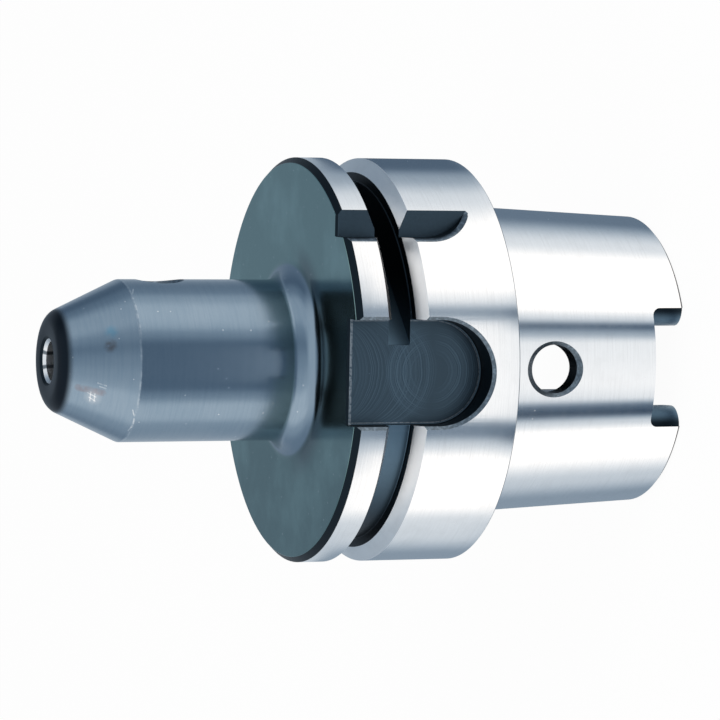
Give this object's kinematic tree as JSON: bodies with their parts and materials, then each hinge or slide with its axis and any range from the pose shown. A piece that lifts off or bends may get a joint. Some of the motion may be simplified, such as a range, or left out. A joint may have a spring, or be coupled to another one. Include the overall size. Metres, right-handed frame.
{
  "type": "side lock end mill holder",
  "caption": "Side lock end mill holder: a slim nose that clamps a straight tool shank with a side screw, a grooved flange and a hollow taper shank.",
  "frame": {"origin": "on the axis, in the plane of the flange's rear face (the gauge plane)", "axes": "+Z along the axis towards the nose, +X towards the clamping screw, -Y towards the narrower keyway; it stands on the end of the shank"},
  "size_m": [0.063, 0.063, 0.097],
  "materials": {
    "holder_steel": "hardened steel: the flange's rim, the groove's flanks and the taper are ground bright, the nose and the flange's front are a satin blue-grey",
    "screw_steel": "blackened steel"
  },
  "bodies": {
    "holder": {"holder_body": "holder_steel"},
    "clamping_screw": {"side_lock_screw": "screw_steel"}
  },
  "joints": [
    {"name": "screw_travel", "type": "slide", "parent": "holder", "child": "clamping_screw", "axis": [1, 0, 0], "range_m": [-0.001, 0.0013]}
  ]
}
